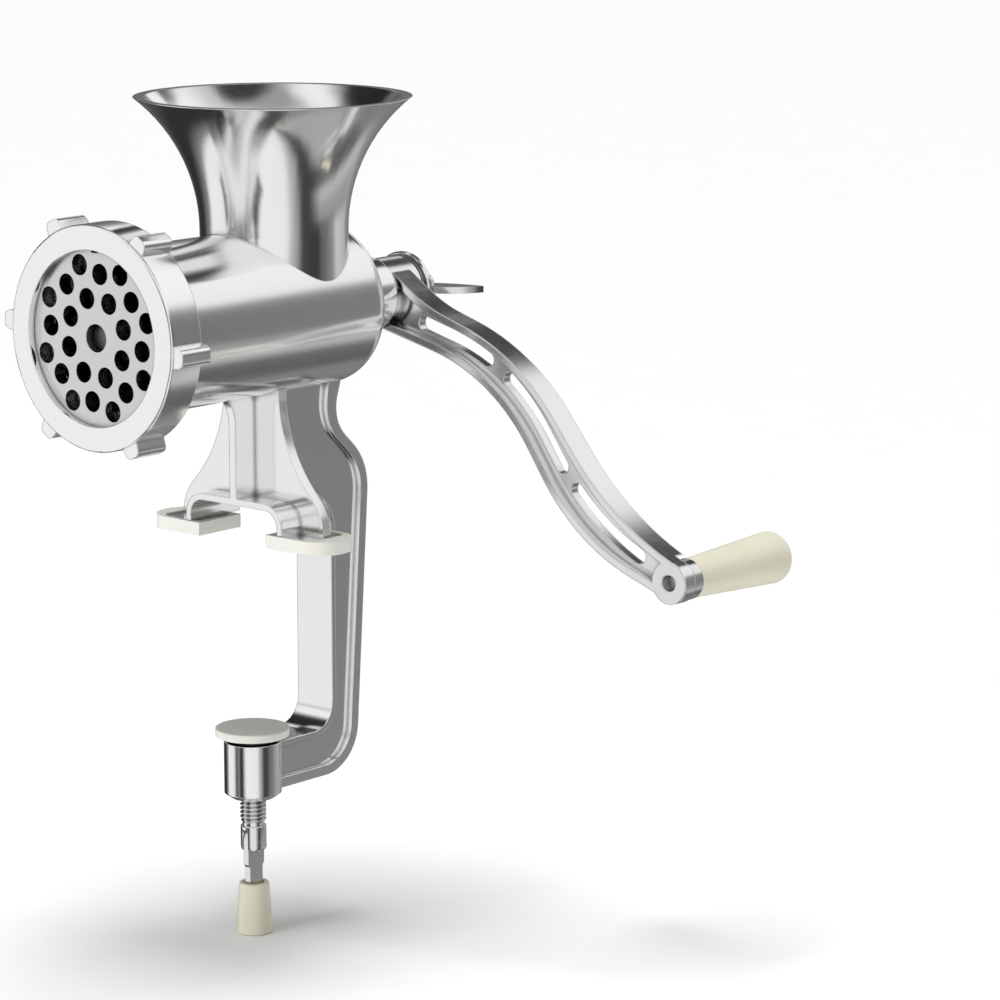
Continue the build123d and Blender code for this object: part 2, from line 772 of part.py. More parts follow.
with BuildPart() as clamp_screw:
    with BuildSketch(Plane.XY.offset(fork_bottom)):
        Circle(screw_radius)
    extrude(amount=pressure_disc_bottom - pivot_gap - fork_bottom)
    chamfer(edges().filter_by(GeomType.CIRCLE).sort_by(Axis.Z)[0], length=small_edge)
    with BuildSketch(Plane.XY.offset(pressure_disc_bottom - pivot_gap)):
        Circle(pivot_radius)
    extrude(amount=pressure_disc_thickness)
    # Slot between the fork's two tines, for the lever bar
    with BuildSketch(frame_plane.offset(-bar_slot_half)):
        with BuildLine():
            slot_top = fork_pin_height + bar_width / 2 + fork_slot_clearance
            Polyline(
                (-2 * screw_radius, fork_bottom - overrun),
                (-2 * screw_radius, slot_top),
                (2 * screw_radius, slot_top),
                (2 * screw_radius, fork_bottom - overrun),
                close=True,
            )
        make_face()
    extrude(amount=2 * bar_slot_half, mode=Mode.SUBTRACT)
    with BuildSketch(frame_plane.offset(-2 * screw_radius)):
        with Locations((0, fork_pin_height)):
            Circle(fork_pin_radius)
    extrude(amount=4 * screw_radius, mode=Mode.SUBTRACT)
finish(clamp_screw, "clamp_screw")

with BuildPart() as lever_pin:
    with BuildSketch(frame_plane.offset(-lever_pin_half)):
        with Locations((0, fork_pin_height)):
            Circle(fork_pin_radius)
    extrude(amount=2 * lever_pin_half)
finish(lever_pin, "lever_pin")

with BuildPart() as lever_bar:
    with BuildSketch(frame_plane.offset(-bar_thickness / 2)):
        with BuildLine():
            head_left = Line((-bar_width / 2, bar_step), (-bar_width / 2, fork_pin_height))
            head_round = ThreePointArc(
                head_left @ 1,
                (0, fork_pin_height + bar_width / 2),
                (bar_width / 2, fork_pin_height),
            )
            head_right = Line(head_round @ 1, (bar_width / 2, bar_step))
            step_right = Line(head_right @ 1, (bar_tail_width / 2, bar_step - bar_step_rise))
            tail_right = Line(step_right @ 1, (bar_tail_width / 2, bar_end))
            tail_end = Line(tail_right @ 1, (-bar_tail_width / 2, bar_end))
            tail_left = Line(tail_end @ 1, (-bar_tail_width / 2, bar_step - bar_step_rise))
            Line(tail_left @ 1, head_left @ 0)
        make_face()
        with Locations((0, fork_pin_height)):
            Circle(fork_pin_radius + running_fit, mode=Mode.SUBTRACT)
    extrude(amount=bar_thickness)
finish(lever_bar, "lever_bar")

with BuildPart() as lever_grip:
    with BuildSketch(frame_plane):
        with BuildLine():
            Polyline(
                (0, lever_grip_bottom),
                (lever_grip_bottom_radius, lever_grip_bottom),
                (lever_grip_top_radius, lever_grip_top),
                (lever_socket_radius, lever_grip_top),
                (lever_socket_radius, lever_socket_floor),
                (0, lever_socket_floor),
                close=True,
            )
        make_face()
        grip_foot = (lever_grip_bottom_radius, lever_grip_bottom)
        fillet(vertices().sort_by_distance(grip_foot)[0], radius=lever_grip_rounding)
        fillet(vertices().sort_by_distance((lever_grip_top_radius, lever_grip_top))[0], radius=small_edge)
    revolve(axis=Axis.Z)
    # Slit below the socket that the bar's end is pressed into
    with BuildSketch(Plane.XY.offset(bar_end)):
        Rectangle(bar_thickness, bar_tail_width)
    extrude(amount=lever_socket_floor - bar_end + overrun, mode=Mode.SUBTRACT)
finish(lever_grip, "lever_grip")

# The white pad and the steel disc set in it, which swivels on the screw's tip
with BuildPart() as pressure_pad:
    with BuildSketch(Plane.XY.offset(pressure_pad_bottom)):
        Circle(pressure_pad_radius)
    extrude(amount=pressure_pad_thickness)
    fillet(edges().filter_by(GeomType.CIRCLE), radius=small_edge)
finish(pressure_pad, "pressure_pad")

with BuildPart() as pressure_disc:
    with BuildSketch(Plane.XY.offset(pressure_disc_bottom)):
        Circle(pressure_disc_radius)
    extrude(amount=pressure_disc_thickness)
    with BuildSketch(Plane.XY.offset(pressure_disc_bottom)):
        Circle(pivot_radius + running_fit)
    extrude(amount=pressure_disc_thickness - pivot_roof, mode=Mode.SUBTRACT)
finish(pressure_disc, "pressure_disc")
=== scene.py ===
# %% [markdown]
# # A hand crank meat grinder, finished in Blender
# The grinder's real pieces, with their sizes and joints, come ready made as a fixed frame.
# This lesson adds what a frame can't hold: polished and satin metal, moulded plastic, real
# screw threads, a studio to see it in, and a camera. Everything is in metres, so a piece
# goes exactly where the frame says that it is. We start by loading the frame, and note the
# box that holds it, because nothing we add may reach outside that box.

# %% Load the frame
import json
import math

import bpy
import bmesh
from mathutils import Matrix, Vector


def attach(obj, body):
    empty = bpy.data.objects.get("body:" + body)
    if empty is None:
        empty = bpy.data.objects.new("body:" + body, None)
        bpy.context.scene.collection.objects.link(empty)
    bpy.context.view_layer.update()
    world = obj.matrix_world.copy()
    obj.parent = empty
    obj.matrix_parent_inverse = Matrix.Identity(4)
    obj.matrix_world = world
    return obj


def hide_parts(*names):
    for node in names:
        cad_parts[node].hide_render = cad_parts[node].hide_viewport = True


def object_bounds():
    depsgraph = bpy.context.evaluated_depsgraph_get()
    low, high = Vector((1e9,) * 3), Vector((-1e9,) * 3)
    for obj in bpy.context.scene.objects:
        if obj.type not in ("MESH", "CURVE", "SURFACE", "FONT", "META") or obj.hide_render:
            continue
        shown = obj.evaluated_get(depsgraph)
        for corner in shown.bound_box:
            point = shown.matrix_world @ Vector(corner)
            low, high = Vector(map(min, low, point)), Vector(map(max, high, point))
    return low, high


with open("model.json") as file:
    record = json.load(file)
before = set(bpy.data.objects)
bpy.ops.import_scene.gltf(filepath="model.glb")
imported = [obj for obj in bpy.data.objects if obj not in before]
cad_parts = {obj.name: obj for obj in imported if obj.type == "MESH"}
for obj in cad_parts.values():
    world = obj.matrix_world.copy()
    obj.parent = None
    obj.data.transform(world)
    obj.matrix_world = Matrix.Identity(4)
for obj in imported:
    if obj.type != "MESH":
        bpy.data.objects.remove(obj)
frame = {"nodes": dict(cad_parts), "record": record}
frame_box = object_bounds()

scene = bpy.context.scene
nodes = frame["nodes"]
print("pieces in the frame:", len(nodes))
print("box of the frame:", [tuple(round(v, 4) for v in corner) for corner in frame_box])

# %% [markdown]
# ## The camera
# A product picture is taken from a little above, with a long lens, so that upright edges
# stay upright. We could type in a location, but it is easier to think of a camera that
# walks round its subject: a point to look at, a bearing, a height angle and a distance.
# The bearing is counted from the grinder's outlet, towards the side with the crank.

# %% Place the camera
look_at = Vector((0.1031, 0.0148, 0.0247))
bearing = math.radians(40.575)
height_angle = math.radians(11.207)
distance = 1.3923

away = Vector((
    math.sin(bearing) * math.cos(height_angle),
    -math.cos(bearing) * math.cos(height_angle),
    math.sin(height_angle),
))
camera_data = bpy.data.cameras.new("studio_camera")
camera_data.lens = 148.55
camera_data.sensor_width = 36.0
camera = bpy.data.objects.new("studio_camera", camera_data)
camera.location = look_at + away * distance
camera.rotation_euler = (-away).to_track_quat("-Z", "Y").to_euler()
scene.collection.objects.link(camera)
scene.camera = camera
scene.view_settings.view_transform = "Standard"
print("camera stands at", tuple(round(v, 3) for v in camera.location))

# %% [markdown]
# ## The floor
# The grinder is held by a table in use, but here it stands on the tip of its clamp lever,
# so the floor lies at the lowest point of the frame. A white sheet would show up in every
# polished face and wash the metal out. A studio keeps it out of the reflections with black
# cards, and in Blender the floor simply isn't visible to glossy rays.

# %% Lay the floor
floor_level = frame_box[0].z
floor_half = 12.0


def new_piece(name, corners, faces):
    """A mesh object made of the given corners and faces."""
    mesh = bpy.data.meshes.new(name)
    mesh.from_pydata(corners, [], faces)
    mesh.update()
    piece = bpy.data.objects.new(name, mesh)
    scene.collection.objects.link(piece)
    return piece


floor = new_piece(
    "studio_floor",
    [(x * floor_half, y * floor_half, floor_level) for x, y in ((-1, -1), (1, -1), (1, 1), (-1, 1))],
    [(0, 1, 2, 3)],
)
floor.visible_glossy = False
print("floor level:", round(floor_level, 4))

# %% [markdown]
# ## Small tools for materials
# Every material below is a handful of nodes, wired in the same way. Small helpers keep that
# wiring short: one makes a node and sets its values, one starts a material and hands back
# its shader, and two deal in greys. The names of the sockets are the ones that the shader
# editor shows.

# %% Helpers for nodes
def make(tree, kind, settings=None, **values):
    """Adds a node, sets its own settings, then its inputs, by socket name or as i and a number."""
    node = tree.nodes.new(kind)
    for key, value in (settings or {}).items():
        setattr(node, key, value)
    for key, value in values.items():
        numbered = key[0] == "i" and key[1:].isdigit()
        socket = node.inputs[int(key[1:]) if numbered else key.replace("_", " ")]
        if isinstance(value, bpy.types.NodeSocket):
            tree.links.new(value, socket)
        else:
            socket.default_value = value
    return node


def start_material(name):
    """An empty material with one Principled shader wired to its output."""
    material = bpy.data.materials.new(name)
    material.use_nodes = True
    tree = material.node_tree
    tree.nodes.clear()
    shader = make(tree, "ShaderNodeBsdfPrincipled")
    make(tree, "ShaderNodeOutputMaterial", Surface=shader.outputs["BSDF"])
    return material, tree, shader


def plain_grey(value):
    """A grey as the four numbers that a colour socket takes."""
    return (value, value, value, 1.0)


def ramp(tree, factor, stops, interpolation="EASE"):
    """A colour ramp of greys: stops are (place, grey)."""
    node = make(tree, "ShaderNodeValToRGB", i0=factor)
    node.color_ramp.interpolation = interpolation
    while len(node.color_ramp.elements) < len(stops):
        node.color_ramp.elements.new(0.5)
    for element, (place, grey) in zip(node.color_ramp.elements, stops):
        element.position = place
        element.color = plain_grey(grey)
    return node.outputs["Color"]


print("node helpers are ready")

# %% [markdown]
# ## The studio light
# Bare metal has hardly any colour of its own: what we see on it is the room. So the room
# matters more than the metal. We could put dozens of lamps and cards around the grinder,
# but one painted sky does the same without any noise. The paint goes by direction, so we
# first turn each direction into two shares: how far round it lies, and how high.

# %% Start the studio sky
world = bpy.data.worlds.new("studio_sky")
world.use_nodes = True
sky = world.node_tree
sky.nodes.clear()
seen_way = make(sky, "ShaderNodeTexCoord").outputs["Generated"]
way = make(sky, "ShaderNodeSeparateXYZ", Vector=seen_way)
turn = make(sky, "ShaderNodeMath", {"operation": "ARCTAN2"}, i0=way.outputs["Y"], i1=way.outputs["X"])
rise = make(sky, "ShaderNodeMath", {"operation": "ARCSINE"}, i0=way.outputs["Z"])
turn_share = make(
    sky, "ShaderNodeMapRange", Value=turn.outputs[0], From_Min=-math.pi, From_Max=math.pi
).outputs[0]
rise_share = make(
    sky, "ShaderNodeMapRange", Value=rise.outputs[0], From_Min=-math.pi / 2, From_Max=math.pi / 2
).outputs[0]


def turned(degrees):
    """Where a bearing, counted from +X towards +Y, falls on the ramp that runs once round."""
    return (degrees + 180.0) / 360.0


def raised(degrees):
    """Where an angle above the horizon falls on the ramp that runs from straight down to up."""
    return (degrees + 90.0) / 180.0


print("the sky's two shares are ready")

# %% [markdown]
# ## Soft boxes and gaps
# Round the horizon stands a white soft box behind the camera, a second one across the
# outlet from it, a dim one behind the grinder, and dark gaps between them. The bright boxes
# give the ring and the pedestal their white faces, and the gaps draw the stripes down the
# hopper. Low down behind the crank the sky has greys of its own, for the faces that look
# down. Overhead hangs a broad soft box.

# %% Paint the boxes
def blend(tree, share, first, second):
    """Mixes two colours, each a link or four numbers."""
    return make(tree, "ShaderNodeMix", {"data_type": "RGBA"}, i0=share, i6=first, i7=second).outputs[2]


band = ramp(sky, turn_share, [
    (turned(-180), 0.06), (turned(-166), 0.20), (turned(-156), 0.92), (turned(-127), 0.90),
    (turned(-119), 0.26), (turned(-113), 0.07), (turned(-104), 0.26), (turned(-96), 0.03),
    (turned(-87), 0.04), (turned(-80), 0.50), (turned(-73), 0.93), (turned(-30), 0.90),
    (turned(-14), 0.42), (turned(0), 0.06), (turned(24), 0.04), (turned(36), 0.14),
    (turned(52), 0.24), (turned(68), 0.60), (turned(88), 0.50), (turned(104), 0.24),
    (turned(134), 0.15), (turned(164), 0.03),
])
above = ramp(sky, rise_share, [
    (raised(14), 0.34), (raised(25), 0.92), (raised(40), 0.96), (raised(60), 0.62), (raised(76), 0.34),
    (raised(88), 0.36),
])
below = ramp(sky, rise_share, [
    (raised(-80), 0.40), (raised(-56), 0.42), (raised(-43), 0.12), (raised(-38), 0.15),
    (raised(-30), 0.50), (raised(-20), 0.34), (raised(-12), 0.22),
])
side_share = ramp(sky, turn_share, [
    (turned(8), 0.0), (turned(34), 1.0), (turned(84), 1.0), (turned(112), 0.0),
])
down_share = ramp(sky, rise_share, [(raised(-18), 1.0), (raised(-11), 0.0)])
up_share = ramp(sky, rise_share, [(raised(8), 0.0), (raised(24), 1.0)])
both_shares = make(sky, "ShaderNodeMath", {"operation": "MULTIPLY"}, i0=side_share, i1=down_share).outputs[0]
painted = blend(sky, up_share, blend(sky, both_shares, band, below), above)
print("the boxes and gaps take", len(sky.nodes), "nodes so far")

# %% [markdown]
# ## Cards
# Three black cards and two white ones hang above and behind the grinder: the crank's upper
# side and the inside of the hopper mirror them as dark and light patches. A card is a soft
# round patch of the sky. The cosine between its middle and a direction says how near that
# direction is, so one dot product finds it.

# %% Hang the cards
def way_to(bearing_degrees, rise_degrees):
    """The direction that has the given bearing and rise."""
    flat = math.cos(math.radians(rise_degrees))
    return (
        flat * math.cos(math.radians(bearing_degrees)),
        flat * math.sin(math.radians(bearing_degrees)),
        math.sin(math.radians(rise_degrees)),
    )


# Each card has a place for its middle, a reach in degrees and a grey
cards = (
    (way_to(-160, 66), 15.0, 0.95),
    (way_to(62, 76), 12.0, 0.04),
    (way_to(170, 40), 23.0, 0.02),
    (way_to(112, 37), 13.0, 0.05),
    (way_to(108, 15), 10.0, 0.95),
)
card_full = 0.7          # the share of its reach up to which a card is whole
card_gone = 1.5          # and the share at which nothing is left of it
for middle, reach, grey in cards:
    nearness = make(sky, "ShaderNodeVectorMath", {"operation": "DOT_PRODUCT"}, i0=seen_way, i1=middle)
    card = make(
        sky, "ShaderNodeMapRange", {"interpolation_type": "SMOOTHSTEP"}, Value=nearness.outputs["Value"],
        From_Min=math.cos(math.radians(reach * card_gone)),
        From_Max=math.cos(math.radians(reach * card_full)),
    )
    painted = blend(sky, card.outputs[0], painted, plain_grey(grey))
print("cards:", len(cards))

# %% [markdown]
# ## What each ray sees
# The painted sky is for the rays that metal mirrors. Matt things need an even light, so
# for them the sky is plain grey, and the camera sees plain white.

# %% Share out the sky
rays = make(sky, "ShaderNodeLightPath")
matt_light = 0.24
matt = blend(sky, rays.outputs["Is Diffuse Ray"], painted, plain_grey(matt_light))
shown = blend(sky, rays.outputs["Is Camera Ray"], matt, plain_grey(1.0))
glow = make(sky, "ShaderNodeBackground", Color=shown, Strength=1.0)
make(sky, "ShaderNodeOutputWorld", Surface=glow.outputs[0])
scene.world = world
print("the whole sky has", len(sky.nodes), "nodes")

# %% [markdown]
# ## Light for the matt things
# The floor needs an even light from straight above, so that it stays white to its far end
# and the grinder stands in a soft pool of shadow. A sun does that, because its light
# doesn't weaken with distance. Its angle of view sets how soft the shadow is. The grips
# and pads also get one large lamp on the outlet's side, low enough to barely touch the
# floor. Both are kept out of the reflections, which the sky already has under control.

# %% Hang the lamps
sun_strength = 2.55
sun_softness = math.radians(30.0)
sun_data = bpy.data.lights.new("overhead_sun", "SUN")
sun_data.energy = sun_strength
sun_data.angle = sun_softness
sun = bpy.data.objects.new("overhead_sun", sun_data)
sun.visible_glossy = False
scene.collection.objects.link(sun)

lamp_size = 0.8
lamp_power = 13.0
lamp_place = Vector((-0.35, -1.7, 0.30))
lamp_aim = Vector((0.05, 0.0, 0.0))
lamp_data = bpy.data.lights.new("side_lamp", "AREA")
lamp_data.shape = "SQUARE"
lamp_data.size = lamp_size
lamp_data.energy = lamp_power
lamp = bpy.data.objects.new("side_lamp", lamp_data)
lamp.location = lamp_place
lamp.rotation_euler = (lamp_aim - lamp_place).to_track_quat("-Z", "Y").to_euler()
lamp.visible_glossy = False
scene.collection.objects.link(lamp)
print("sun strength:", sun_strength, " lamp power:", lamp_power, "W")

# %% [markdown]
# ## The floor's paper
# A paper roll is not one flat white: it has a faint grain and is a touch uneven. Both are
# so weak that they only keep the shadow from looking computed.

# %% Give the floor its paper
paper, tree, shader = start_material("studio_paper")
place = make(tree, "ShaderNodeTexCoord").outputs["Object"]
fibres = make(tree, "ShaderNodeTexNoise", Vector=place, Scale=40.0, Detail=6.0)
tone = blend(tree, fibres.outputs[0], plain_grey(0.93), plain_grey(0.97))
tree.links.new(tone, shader.inputs["Base Color"])
shader.inputs["Roughness"].default_value = 0.9
floor.data.materials.append(paper)
print("paper:", paper.name)

# %% [markdown]
# ## How bare metal is finished
# All the metal pieces share one recipe and differ in its numbers. The metal reflects
# everything (Metallic 1), and its roughness decides whether the room shows as sharp lines
# or as soft bands. A stretched noise stands for the direction in which the belt or the
# brush ran, and a finer one for the skin that a casting keeps. Two things follow the shape.
# Corners get a painted highlight, which also stands for the wear of polishing: a bevelled
# normal differs from the real one only near an edge, so their difference makes a mask that
# brightens edges. Holes and crannies get painted shade: ambient occlusion finds them and
# darkens their colour, a little unevenly.

# %% The metal recipe
highlight_and_wear_grey = 0.98         # of the painted highlight on a corner, which also stands for wear
uneven = 1.4             # how much lighter the palest painted cranny shade is than the darkest


def metal(name, light, dark, smooth, rough, grain, grain_height, skin_height, edge, cranny, cranny_grey):
    """Bare metal. light and dark are its two greys, smooth and rough its roughness range,
    grain how the brush marks are stretched, the heights and the edge in metres, cranny how
    far apart two walls may stand to get painted shade, and cranny_grey how dark that shade is."""
    material, tree, shader = start_material(name)
    place = make(tree, "ShaderNodeTexCoord").outputs["Object"]
    stretched = make(tree, "ShaderNodeMapping", Vector=place, Scale=grain)
    marks = make(
        tree, "ShaderNodeTexNoise", Vector=stretched.outputs[0], Scale=1.0, Detail=5.0, Roughness=0.6
    )
    clouds = make(tree, "ShaderNodeTexNoise", Vector=place, Scale=38.0, Detail=3.0)
    skin = make(tree, "ShaderNodeTexNoise", Vector=place, Scale=1400.0, Detail=2.0)
    both = make(tree, "ShaderNodeMix", i0=0.35, i2=marks.outputs[0], i3=clouds.outputs[0])
    rounded = make(tree, "ShaderNodeBevel", {"samples": 6}, Radius=edge)
    true_normal = make(tree, "ShaderNodeNewGeometry").outputs["Normal"]
    agree = make(
        tree, "ShaderNodeVectorMath", {"operation": "DOT_PRODUCT"}, i0=rounded.outputs[0], i1=true_normal
    )
    # The painted highlight, which also stands for wear, grows from nothing on a face to whole on a sharp
    # corner
    edge_highlight_and_wear = make(tree, "ShaderNodeMapRange", Value=agree.outputs["Value"], From_Min=0.995, From_Max=0.86)
    greys = blend(tree, both.outputs[0], (*dark, 1.0), (*light, 1.0))
    with_highlight_and_wear = blend(tree, edge_highlight_and_wear.outputs[0], greys, plain_grey(highlight_and_wear_grey))
    # Painted shade: ambient occlusion darkens the colour in holes and crannies
    open_share = make(tree, "ShaderNodeAmbientOcclusion", {"samples": 5}, Distance=cranny).outputs["AO"]
    open_to_light = make(
        tree, "ShaderNodeMapRange", {"interpolation_type": "SMOOTHSTEP"}, Value=open_share,
        From_Min=0.20, From_Max=0.74,
    )
    painted_cranny_shade = blend(tree, both.outputs[0], plain_grey(cranny_grey), plain_grey(uneven * cranny_grey))
    tree.links.new(blend(tree, open_to_light.outputs[0], painted_cranny_shade, with_highlight_and_wear), shader.inputs["Base Color"])
    spread = make(
        tree, "ShaderNodeMapRange", Value=both.outputs[0], From_Min=0.3, From_Max=0.7,
        To_Min=smooth, To_Max=rough,
    )
    tree.links.new(spread.outputs[0], shader.inputs["Roughness"])
    brushed = make(
        tree, "ShaderNodeBump", Strength=0.5, Distance=grain_height, Height=marks.outputs[0],
        Normal=rounded.outputs[0],
    )
    cast = make(
        tree, "ShaderNodeBump", Strength=0.5, Distance=skin_height, Height=skin.outputs[0],
        Normal=brushed.outputs[0],
    )
    tree.links.new(cast.outputs[0], shader.inputs["Normal"])
    shader.inputs["Metallic"].default_value = 1.0
    return material


print("the metal recipe is ready")

# %% [markdown]
# ## The eight metals
# The casting, the ring and the crank are the same bright metal, belted along the barrel or
# buffed every way, and the crank is the roughest of the three. The auger is dark and dull, and
# its near-black is partly painted shade for the barrel's inside, which keeps the plate's holes
# dark as well. The plate and the knife are ground, and the screws, the pins and the lever's
# bar are bright steel. The lock washer is blued, and the disc on the clamp screw shares its
# near-black as painted shade under the pressure pad. The bush is bronze.

# %% Mix the metals
# A small number along an axis stretches the marks that way
along_barrel = (900.0, 45.0, 900.0)
along_height = (900.0, 900.0, 45.0)
through_plate = (900.0, 30.0, 900.0)
every_way = (420.0, 420.0, 420.0)
satin_casting = metal(
    "satin_casting", light=(0.93, 0.93, 0.925), dark=(0.86, 0.86, 0.855), smooth=0.11, rough=0.17,
    grain=along_barrel, grain_height=2e-6, skin_height=2e-6, edge=0.0006, cranny=0.0032, cranny_grey=0.16,
)
polished_ring = metal(
    "polished_ring", light=(0.96, 0.96, 0.955), dark=(0.91, 0.91, 0.905), smooth=0.10, rough=0.15,
    grain=every_way, grain_height=1e-6, skin_height=1e-6, edge=0.0006, cranny=0.0030, cranny_grey=0.20,
)
satin_crank = metal(
    "satin_crank", light=(0.90, 0.90, 0.895), dark=(0.80, 0.80, 0.795), smooth=0.15, rough=0.22,
    grain=every_way, grain_height=2e-6, skin_height=2e-6, edge=0.0008, cranny=0.0060, cranny_grey=0.12,
)
# Its near-black is partly painted shade for the inside of the barrel
forged_auger = metal(
    "forged_auger", light=(0.26, 0.26, 0.255), dark=(0.17, 0.17, 0.165), smooth=0.32, rough=0.45,
    grain=every_way, grain_height=6e-6, skin_height=6e-6, edge=0.0004, cranny=0.012, cranny_grey=0.01,
)
ground_plate = metal(
    "ground_plate", light=(0.76, 0.76, 0.755), dark=(0.70, 0.70, 0.695), smooth=0.22, rough=0.30,
    grain=through_plate, grain_height=2e-6, skin_height=1e-6, edge=0.0003, cranny=0.012, cranny_grey=0.0,
)
turned_steel = metal(
    "turned_steel", light=(0.86, 0.86, 0.86), dark=(0.76, 0.76, 0.76), smooth=0.12, rough=0.20,
    grain=along_height, grain_height=2e-6, skin_height=1e-6, edge=0.00012, cranny=0.0012, cranny_grey=0.05,
)
# Blued for the lock washer; on the pressure disc its near-black is painted shade under the pad
blued_and_shaded_steel = metal(
    "blued_and_shaded_steel", light=(0.16, 0.16, 0.165), dark=(0.10, 0.10, 0.105), smooth=0.28, rough=0.40,
    grain=every_way, grain_height=2e-6, skin_height=2e-6, edge=0.0003, cranny=0.004, cranny_grey=0.04,
)
bearing_bronze = metal(
    "bearing_bronze", light=(0.78, 0.56, 0.30), dark=(0.66, 0.46, 0.24), smooth=0.25, rough=0.36,
    grain=along_barrel, grain_height=2e-6, skin_height=2e-6, edge=0.0003, cranny=0.004, cranny_grey=0.10,
)
metals = (
    satin_casting, polished_ring, satin_crank, forged_auger,
    ground_plate, turned_steel, blued_and_shaded_steel, bearing_bronze,
)
print("metals:", ", ".join(material.name for material in metals))

# %% [markdown]
# ## Moulded plastic and fibre
# The grips and pads are moulded. Plastic isn't metal: its own colour shows, a little light
# travels inside it, and only a weak reflection lies on top. The mould leaves a fine even
# texture, and handling polishes the colour unevenly, which two noises give.

# %% The plastic recipe
plastic_ior = 1.49
light_travel = 0.002     # how far light wanders inside, in metres
handling = 0.05          # how far handling shifts the roughness


def plastic(name, light, dark, roughness, texture_height, depth, edge):
    """Moulded plastic with two close colours, a fine mould texture and some depth."""
    material, tree, shader = start_material(name)
    place = make(tree, "ShaderNodeTexCoord").outputs["Object"]
    clouds = make(tree, "ShaderNodeTexNoise", Vector=place, Scale=55.0, Detail=4.0)
    texture = make(tree, "ShaderNodeTexNoise", Vector=place, Scale=2200.0, Detail=2.0)
    colour = blend(tree, clouds.outputs[0], (*dark, 1.0), (*light, 1.0))
    tree.links.new(colour, shader.inputs["Base Color"])
    spread = make(
        tree, "ShaderNodeMapRange", Value=clouds.outputs[0], From_Min=0.3, From_Max=0.7,
        To_Min=roughness - handling, To_Max=roughness + handling,
    )
    tree.links.new(spread.outputs[0], shader.inputs["Roughness"])
    rounded = make(tree, "ShaderNodeBevel", {"samples": 6}, Radius=edge)
    bump = make(
        tree, "ShaderNodeBump", Strength=0.5, Distance=texture_height, Height=texture.outputs[0],
        Normal=rounded.outputs[0],
    )
    tree.links.new(bump.outputs[0], shader.inputs["Normal"])
    shader.inputs["IOR"].default_value = plastic_ior
    shader.inputs["Subsurface Weight"].default_value = depth
    shader.inputs["Subsurface Scale"].default_value = light_travel
    return material


cream_plastic = plastic(
    "cream_plastic", light=(0.82, 0.80, 0.65), dark=(0.77, 0.75, 0.59), roughness=0.32,
    texture_height=4e-6, depth=0.25, edge=0.0004,
)
white_nylon = plastic(
    "white_nylon", light=(0.86, 0.86, 0.80), dark=(0.80, 0.80, 0.74), roughness=0.45,
    texture_height=5e-6, depth=0.2, edge=0.0004,
)
pressed_fibre = plastic(
    "pressed_fibre", light=(0.10, 0.06, 0.045), dark=(0.06, 0.035, 0.028), roughness=0.6,
    texture_height=2e-5, depth=0.0, edge=0.0002,
)
print("plastics:", cream_plastic.name, white_nylon.name, pressed_fibre.name)

# %% [markdown]
# ## Dressing the frame's pieces
# The record names a material slot for each piece. One table from slot to finish dresses
# them all.

# %% Give each piece its finish
finishes = {
    "cast_body": satin_casting,
    "cast_ring": polished_ring,
    "cast_crank": satin_crank,
    "cast_auger": forged_auger,
    "ground_steel": ground_plate,
    "bright_steel": turned_steel,
    "dark_steel": blued_and_shaded_steel,
    "bearing_metal": bearing_bronze,
    "dark_fibre": pressed_fibre,
    "cream_grip": cream_plastic,
    "white_pad": white_nylon,
}
slot_of = {row["node"]: row["material_slot"] for row in frame["record"]["subparts"]}
for name, node in nodes.items():
    for holder in node.material_slots:
        holder.material = finishes[slot_of[name]]
print("dressed", len(nodes), "pieces in", len(finishes), "finishes")

# %% [markdown]
# ## Screw threads
# The frame's threads are plain cylinders, because a true thread would only slow a computer
# model down. Here we cut them. A thread is a ridge that climbs one pitch in every turn. On
# a grid wrapped round the axis, the height of the ridge at a point depends only on how far
# along the axis the point is, less the share of a turn that it has gone round. That phase
# goes through a V with a flat top and bottom, and fades out at both ends, as the cut of a
# die does. The same function makes outside threads and, with a negative depth, inside ones.

# %% Helpers for threads
groove_flat = 0.12       # share of the pitch that the groove's flat takes
flank_share = 0.70       # and the share that its two flanks take
steps_pitch = 10         # rings of points in one pitch


def ridge(phase):
    """Height of a thread, from 0 in the groove to 1 on the crest, for a phase in turns."""
    slope = abs((phase % 1.0) * 2.0 - 1.0)
    return min(1.0, max(0.0, (slope - groove_flat) / flank_share))


def thread_rows(start, end, pitch, root, depth, run_out, steps_round):
    """Rings of points (across, up, along) of a right-hand thread between two stations."""
    count = max(2, round(abs(end - start) / pitch * steps_pitch))
    rows = []
    for i in range(count + 1):
        along = start + (end - start) * i / count
        fade = min(1.0, abs(along - start) / run_out, abs(end - along) / run_out)
        row = []
        for j in range(steps_round):
            angle = 2.0 * math.pi * j / steps_round
            radius = root + depth * fade * ridge(along / pitch - j / steps_round)
            row.append((radius * math.cos(angle), radius * math.sin(angle), along))
        rows.append(row)
    return rows


def plain_row(along, radius, steps_round):
    """One plain ring of points."""
    angles = [2.0 * math.pi * j / steps_round for j in range(steps_round)]
    return [(radius * math.cos(angle), radius * math.sin(angle), along) for angle in angles]


def skin_of(rows, closed):
    """Corners and faces of a skin through rings of equally many points; closed caps its ends."""
    corners = [corner for row in rows for corner in row]
    width = len(rows[0])
    faces = [
        (i * width + j, i * width + (j + 1) % width, (i + 1) * width + (j + 1) % width, (i + 1) * width + j)
        for i in range(len(rows) - 1)
        for j in range(width)
    ]
    if closed:
        faces.append(tuple(reversed(range(width))))
        faces.append(tuple((len(rows) - 1) * width + j for j in range(width)))
    return corners, faces


